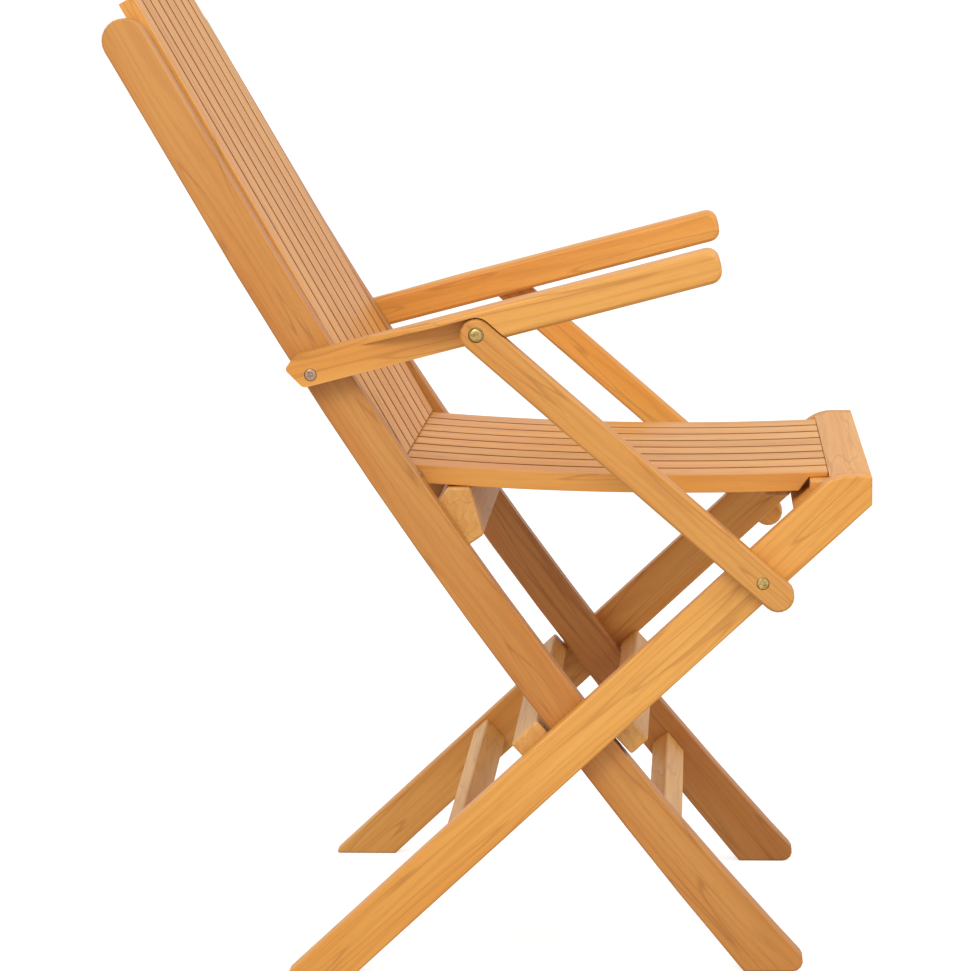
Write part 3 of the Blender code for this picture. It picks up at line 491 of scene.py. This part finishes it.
def seat_tree():
    """A row of dished slats with a tongue at the front."""
    tree, given = new_tree("dished_slat_row", SEAT)
    strip = add(tree, "GeometryNodeMeshGrid", {"Size X": 1.0, "Size Y": given["Slat width"],
                                               "Vertices X": STATIONS, "Vertices Y": 2}).outputs[0]
    flat = add(tree, "ShaderNodeSeparateXYZ", {0: add(tree, "GeometryNodeInputPosition").outputs[0]})
    along = add(tree, "ShaderNodeMath", {0: flat.outputs["X"], 1: 0.5}, operation="ADD").outputs[0]
    strip = add(tree, "GeometryNodeStoreNamedAttribute",
                {"Geometry": strip, "Name": "share", "Value": along}, data_type="FLOAT").outputs[0]
    share = add(tree, "GeometryNodeInputNamedAttribute", {"Name": "share"},
                data_type="FLOAT").outputs[0]
    last_plain = (STATIONS - 3) / (STATIONS - 1)
    past_foot = add(tree, "ShaderNodeMath", {0: share, 1: last_plain + 0.01},
                    operation="GREATER_THAN").outputs[0]
    past_notch = add(tree, "ShaderNodeMath", {0: share, 1: 0.99}, operation="GREATER_THAN").outputs[0]
    plain = add(tree, "ShaderNodeMapRange", {0: share, 2: last_plain, 3: given["Rear end"],
                                             4: given["Notch foot"]}).outputs[0]
    to_notch = add(tree, "ShaderNodeMix", {0: past_foot, 2: plain, 3: given["Notch"]}).outputs[0]
    x = add(tree, "ShaderNodeMix", {0: past_notch, 2: to_notch, 3: given["Tongue end"]}).outputs[0]
    radius = given["Dish radius"]
    away = add(tree, "ShaderNodeMath", {0: x, 1: given["Lowest point"]}, operation="SUBTRACT").outputs[0]
    away_squared = add(tree, "ShaderNodeMath", {0: away, 1: away}, operation="MULTIPLY").outputs[0]
    radius_squared = add(tree, "ShaderNodeMath", {0: radius, 1: 2.0}, operation="POWER").outputs[0]
    drop_squared = add(tree, "ShaderNodeMath", {0: radius_squared, 1: away_squared},
                       operation="SUBTRACT").outputs[0]
    below_centre = add(tree, "ShaderNodeMath", {0: drop_squared}, operation="SQRT").outputs[0]
    rise = add(tree, "ShaderNodeMath", {0: radius, 1: below_centre}, operation="SUBTRACT").outputs[0]
    z = add(tree, "ShaderNodeMath", {0: given["Lowest height"], 1: rise}, operation="ADD").outputs[0]
    dished = add(tree, "ShaderNodeCombineXYZ", {0: x, 1: flat.outputs["Y"], 2: z}).outputs[0]
    sheet = add(tree, "GeometryNodeSetPosition", {"Geometry": strip, "Position": dished}).outputs[0]
    lift = add(tree, "ShaderNodeMath", {0: given["Thickness"], 1: given["Tongue"]},
               operation="SUBTRACT").outputs[0]
    up = add(tree, "ShaderNodeCombineXYZ", {"Z": lift}).outputs[0]
    finish_row(tree, given, thicken(tree, sheet, given["Thickness"], past_foot, up))
    return tree


SEAT_NODES = ["seat_slat_%d" % number for number in range(1, SLAT_COUNT + 1)]
seat_slats = row_piece("dished_seat_slats", seat_tree(), SEAT, Matrix(), "seat",
                       SLAT_ROUNDING)
paint_gap_shade(seat_slats.data)
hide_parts(*SEAT_NODES)

# %% [markdown]
# A back slat is straight. Its upper end is sawn square and its lower end is sawn level with the floor.
# The tree builds the row lying down, with X along the slat and Z out of its front face.
# The finished mesh is then turned to the slope of the back, 60.4 degrees.

# %% Back slats
BACK_DEGREES = 60.4
BACK_TOP_Z = 0.8880
BACK_BOTTOM_Z = 0.4670
BACK_POINT = Vector((-0.1971, 0.0, 0.6732))
BACK_THICKNESS = 0.0145
BACK_COS, BACK_SIN = math.cos(math.radians(BACK_DEGREES)), math.sin(math.radians(BACK_DEGREES))
BACK = {"Count": SLAT_COUNT, "Slat width": SLAT_WIDTH, "Gap": SLAT_GAP,
        "Length": (BACK_TOP_Z - BACK_BOTTOM_Z) / BACK_SIN,
        "Thickness": BACK_THICKNESS, "Level cut": BACK_THICKNESS * BACK_COS / BACK_SIN, "Seed": 11,
        "Material": TEAK}


def back_tree():
    """A row of straight slats with one end cut on the slope."""
    tree, given = new_tree("straight_slat_row", BACK)
    strip = add(tree, "GeometryNodeMeshGrid", {"Size X": given["Length"], "Size Y": given["Slat width"],
                                               "Vertices X": 9, "Vertices Y": 2}).outputs[0]
    half = add(tree, "ShaderNodeMath", {0: given["Length"], 1: 0.5}, operation="MULTIPLY").outputs[0]
    ahead = add(tree, "ShaderNodeCombineXYZ", {"X": half}).outputs[0]
    sheet = add(tree, "GeometryNodeSetPosition", {"Geometry": strip, "Offset": ahead}).outputs[0]
    place = add(tree, "ShaderNodeSeparateXYZ", {0: add(tree, "GeometryNodeInputPosition").outputs[0]})
    lower_end = add(tree, "ShaderNodeMath", {0: place.outputs["X"], 1: 0.0001},
                    operation="LESS_THAN").outputs[0]
    cut = add(tree, "ShaderNodeCombineXYZ", {"X": given["Level cut"]}).outputs[0]
    finish_row(tree, given, thicken(tree, sheet, given["Thickness"], lower_end, cut))
    return tree


drop = (BACK_POINT.z - BACK_BOTTOM_Z) / BACK_SIN
foot = BACK_POINT + Vector((BACK_COS, 0.0, -BACK_SIN)) * drop
stand = Matrix(((-BACK_COS, 0.0, BACK_SIN, foot.x), (0.0, -1.0, 0.0, 0.0),
                (BACK_SIN, 0.0, BACK_COS, foot.z), (0.0, 0.0, 0.0, 1.0)))
BACK_NODES = ["back_slat_%d" % number for number in range(1, SLAT_COUNT + 1)]
back_slats = row_piece("straight_back_slats", back_tree(), BACK, stand, "back_frame",
                       SLAT_ROUNDING)
paint_gap_shade(back_slats.data)
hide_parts(*BACK_NODES)

# %% [markdown]
# Each slat is held by one screw from behind, so the front of the back and the top of the seat stay clean.
# The heads are small and many, so one tree makes a row of them: a low cone of twelve sides,
# whose top is inset and pushed in for the driver. Three rows are needed: two on the back's rails
# and one on the batten, whose screws miss the outermost two slats.

# %% Rows of slat screws
SLAT_SCREWS = {"Count": SLAT_COUNT, "Slat width": SLAT_WIDTH, "Gap": SLAT_GAP, "Sides": 12,
               "Rim radius": 0.0038, "Face radius": 0.0031, "Proud": 0.0006,
               "Socket share": 0.5, "Socket depth": 0.0005,
               "Seed": 2, "Material": ZINC}
BACK_RAILS = {"back_top_rail": (0.800, 0.018), "back_lower_rail": (0.505, 0.0155)}   # height, thickness
RAIL_GAP = 0.0003     # between a slat and its rail
BATTEN_SUNK = 0.0004  # how deep the batten's heads sit in the wood


def screw_tree():
    """A row of low screw heads that face up, with a pushed-in socket."""
    tree, given = new_tree("slat_screw_row", SLAT_SCREWS)
    cone = add(tree, "GeometryNodeMeshCone",
               {"Vertices": given["Sides"], "Radius Top": given["Face radius"],
                "Radius Bottom": given["Rim radius"], "Depth": given["Proud"]})
    rim = add(tree, "GeometryNodeExtrudeMesh",
              {"Mesh": cone.outputs["Mesh"], "Selection": cone.outputs["Top"],
               "Offset Scale": 0.0, "Individual": False}, mode="FACES")
    inset = add(tree, "GeometryNodeScaleElements", {"Geometry": rim.outputs["Mesh"],
                                                    "Selection": rim.outputs["Top"],
                                                    "Scale": given["Socket share"]}).outputs[0]
    sink = add(tree, "ShaderNodeMath", {0: given["Socket depth"], 1: -1.0},
               operation="MULTIPLY").outputs[0]
    socket = add(tree, "GeometryNodeExtrudeMesh", {"Mesh": inset, "Selection": rim.outputs["Top"],
                                                   "Offset Scale": sink, "Individual": False}, mode="FACES")
    finish_row(tree, given, socket.outputs["Mesh"])
    return tree


def facing(normal, point):
    """Matrix that lays a row, made along Y and facing up, on a face with this normal at this point."""
    up = Vector(normal).normalized()
    along = Vector((0.0, 1.0, 0.0))
    aside = along.cross(up)
    return Matrix(((aside.x, along.x, up.x, point[0]), (aside.y, along.y, up.y, point[1]),
                   (aside.z, along.z, up.z, point[2]), (0.0, 0.0, 0.0, 1.0)))


BEHIND = Vector((-BACK_SIN, 0.0, -BACK_COS))
UP_THE_BACK = Vector((-BACK_COS, 0.0, BACK_SIN))
for rail, (height, thickness) in BACK_RAILS.items():
    across = (height - BACK_POINT.z) / BACK_SIN
    depth = BACK_THICKNESS + RAIL_GAP + thickness
    point = BACK_POINT + UP_THE_BACK * across + BEHIND * depth
    row_piece("screws_" + rail, screw_tree(), SLAT_SCREWS, facing(BEHIND, point), "back_frame",
              0.0)
low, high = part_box("seat_batten")
BATTEN_SCREWS = dict(SLAT_SCREWS, Count=6)
under_batten = ((low[0] + high[0]) / 2, 0.0, low[2] + BATTEN_SUNK)
row_piece("screws_seat_batten", screw_tree(), BATTEN_SCREWS, facing((0.0, 0.0, -1.0), under_batten), "seat",
          0.0)

# %% [markdown]
# A socket-head screw is turned on a lathe and then broached: its outline is round and its socket is
# hexagonal. So it is built as rings of points, from the socket's floor out over the head
# and down the shank.
# A ring in the socket lies on a hexagon, every other ring on a circle.

# %% Socket screws, washers and pins
RING_POINTS = 48
SHARP_DEGREES = 35      # an edge that bends more looks sharp
WELD_DISTANCE = 0.0000001


def hexagon_reach(angle, across_flats):
    """Distance from the middle to a hexagon's side in this direction."""
    within = (angle + math.pi / 6) % (math.pi / 3) - math.pi / 6
    return across_flats / 2 / math.cos(within)


def turned_piece(name, node, rings, material):
    """A piece made of rings, in its CAD node's place.

    Each ring is (depth below the outer end, radius), or a hexagon's width as a negative number.
    """
    low, high = (Vector(corner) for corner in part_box(node))
    centre = (low + high) / 2
    side = -1 if centre.y < -0.001 else 1
    outer = high.y if side > 0 else low.y
    solid = bmesh.new()
    loops = []
    for depth, size in rings:
        loop = []
        for i in range(RING_POINTS):
            angle = 2 * math.pi * i / RING_POINTS
            reach = size if size > 0 else hexagon_reach(angle, -size)
            loop.append(solid.verts.new((centre.x + reach * math.cos(angle), outer - side * depth,
                                         centre.z + reach * math.sin(angle))))
        loops.append(loop)
    for first, second in zip(loops, loops[1:]):
        for i in range(RING_POINTS):
            j = (i + 1) % RING_POINTS
            solid.faces.new((first[i], first[j], second[j], second[i]))
    closed_ring = rings[0] == rings[-1]
    if not closed_ring:
        solid.faces.new(loops[0])
        solid.faces.new(list(reversed(loops[-1])))
    else:
        bmesh.ops.remove_doubles(solid, verts=solid.verts, dist=WELD_DISTANCE)
    bmesh.ops.recalc_face_normals(solid, faces=solid.faces)
    for face in solid.faces:
        face.smooth = True
    for edge in solid.edges:
        edge.smooth = math.degrees(edge.calc_face_angle(0.0)) < SHARP_DEGREES
    mesh = bpy.data.meshes.new(name)
    solid.to_mesh(mesh)
    solid.free()
    mesh.materials.append(material)
    piece = bpy.data.objects.new(name, mesh)
    bpy.context.collection.objects.link(piece)
    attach(piece, BODY_OF[node])
    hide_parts(node)
    return piece


HEAD_RADIUS, HEAD_HEIGHT, SHANK_RADIUS = 0.0053, 0.003, 0.003
SOCKET, SOCKET_DEPTH, EDGE = 0.004, 0.0018, 0.0006
LIP_DEPTH, LIP_WIDTH = 0.0002, 0.0004        # chamfer round the mouth of the socket
ROUND_DEPTH, ROUND_WIDTH = 0.00018, 0.00022  # one point on the rounded edge of the head
head = [(SOCKET_DEPTH, -SOCKET), (LIP_DEPTH, -SOCKET), (0.0, -(SOCKET + LIP_WIDTH)),
        (0.0, HEAD_RADIUS - EDGE), (ROUND_DEPTH, HEAD_RADIUS - ROUND_WIDTH), (EDGE, HEAD_RADIUS),
        (HEAD_HEIGHT, HEAD_RADIUS), (HEAD_HEIGHT, SHANK_RADIUS)]
WASHER_RADIUS, WASHER_HOLE, WASHER_THICKNESS, WASHER_EDGE = 0.0066, 0.0031, 0.0012, 0.0003
washer = [(0.0, WASHER_HOLE), (0.0, WASHER_RADIUS - WASHER_EDGE), (WASHER_EDGE, WASHER_RADIUS),
          (WASHER_THICKNESS, WASHER_RADIUS), (WASHER_THICKNESS, WASHER_HOLE), (0.0, WASHER_HOLE)]
PIN_RADIUS, PIN_EDGE = 0.005, 0.0006
ROD_RADIUS, ROD_EDGE = 0.003, 0.0004


def pin(node, radius, edge):
    """Rings of a plain pin as long as its CAD node, with both ends chamfered."""
    low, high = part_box(node)
    length = high[1] - low[1]
    return [(0.0, radius - edge), (edge, radius), (length - edge, radius), (length, radius - edge)]


SCREWS = {"armrest_screw": (ZINC, "zinc_steel"), "strut_top_screw": (BRASS, "brass"),
          "strut_foot_screw": (BRASS, "brass")}
for side in ("left", "right"):
    for kind, (metal, metal_slot) in SCREWS.items():
        node = "%s_%s" % (kind, side)
        low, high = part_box(node)
        length = high[1] - low[1]
        turned_piece("socket_%s" % node, node, head + [(length, SHANK_RADIUS)], metal)
    turned_piece("brass_washer_" + side, "strut_top_washer_" + side, washer, BRASS)
    node = "leg_pivot_pin_" + side
    turned_piece("crossing_pin_" + side, node, pin(node, PIN_RADIUS, PIN_EDGE), ZINC)
turned_piece("seat_hinge_rod", "seat_pivot_rod", pin("seat_pivot_rod", ROD_RADIUS, ROD_EDGE), ZINC)
print("screws, washers, pins and rod: 11")

# %% [markdown]
# The studio: even white air all round, one large soft light in front and a little to the left,
# and a weaker one from the front right.
# The pale floor shines a little by itself. The camera sees it, and the air, almost white, as in a studio
# with a lit backdrop, but it throws less light than that on the chair, so the underside stays in shade.
# The camera is a long lens a little above the armrests, looking slightly down.

# %% Floor, light and camera
FLOOR_REACH = 30.0
FLOOR_LIGHT, FLOOR_SEEN = 0.10, 0.68   # glow on the chair, and to the camera
AIR_LIGHT, AIR_SEEN = 0.92, 1.0
MIDDLE = (0.0, 0.0, 0.45)
LAMPS = {"key_softbox": ((-1.0, -2.8, 2.6), 1.8, 55.0),   # place, width in metres, power in watts
         "fill_softbox": ((2.6, -1.6, 2.4), 2.0, 34.0)}
LENS_MM, SENSOR_MM = 139.47, 36.0
CAMERA_PLACE = (0.1905, -3.5733, 0.9262)


def pale_floor():
    """A matt floor under the chair."""
    material = bpy.data.materials.new("studio_floor")
    material.use_nodes = True
    tree = material.node_tree
    shader = tree.nodes["Principled BSDF"]
    shader.inputs["Base Color"].default_value = linear("#bdbdbd")
    shader.inputs["Roughness"].default_value = 0.9
    shader.inputs["Specular IOR Level"].default_value = 0.0
    shader.inputs["Emission Color"].default_value = linear("#ffffff")
    seen = add(tree, "ShaderNodeLightPath").outputs["Is Camera Ray"]
    glow = add(tree, "ShaderNodeMapRange", {0: seen, 3: FLOOR_LIGHT, 4: FLOOR_SEEN}).outputs[0]
    tree.links.new(glow, shader.inputs["Emission Strength"])
    mesh = bpy.data.meshes.new("studio_floor")
    far = FLOOR_REACH
    mesh.from_pydata([(-far, -far, 0), (far, -far, 0), (far, far, 0), (-far, far, 0)], [], [(0, 1, 2, 3)])
    mesh.materials.append(material)
    floor = bpy.data.objects.new("studio_floor", mesh)
    bpy.context.collection.objects.link(floor)


def soft_light(name, place, target, size, power):
    """A round area light that faces its target."""
    lamp = bpy.data.lights.new(name, "AREA")
    lamp.shape = "DISK"
    lamp.size = size
    lamp.energy = power
    obj = bpy.data.objects.new(name, lamp)
    obj.location = place
    obj.rotation_euler = (Vector(target) - Vector(place)).to_track_quat("-Z", "Y").to_euler()
    bpy.context.collection.objects.link(obj)


pale_floor()
for name, (place, size, power) in LAMPS.items():
    soft_light(name, place, MIDDLE, size, power)
world = bpy.data.worlds.new("studio_air")
world.use_nodes = True
seen = add(world.node_tree, "ShaderNodeLightPath").outputs["Is Camera Ray"]
air = add(world.node_tree, "ShaderNodeMapRange", {0: seen, 3: AIR_LIGHT, 4: AIR_SEEN}).outputs[0]
world.node_tree.nodes["Background"].inputs["Color"].default_value = (1.0, 1.0, 1.0, 1.0)
world.node_tree.links.new(air, world.node_tree.nodes["Background"].inputs["Strength"])
bpy.context.scene.world = world
bpy.context.scene.view_settings.view_transform = "Standard"

camera_data = bpy.data.cameras.new("studio_camera")
camera_data.lens = LENS_MM
camera_data.sensor_width = SENSOR_MM
camera = bpy.data.objects.new("studio_camera", camera_data)
PITCH, YAW, ROLL = math.radians(8.093), math.radians(-3.318), math.radians(-0.457)
aim = Vector((math.sin(YAW) * math.cos(PITCH), math.cos(YAW) * math.cos(PITCH), -math.sin(PITCH)))
turn = aim.to_track_quat("-Z", "Y").to_matrix().to_4x4() @ Matrix.Rotation(ROLL, 4, "Z")
camera.matrix_world = Matrix.Translation(CAMERA_PLACE) @ turn
bpy.context.collection.objects.link(camera)
bpy.context.scene.camera = camera
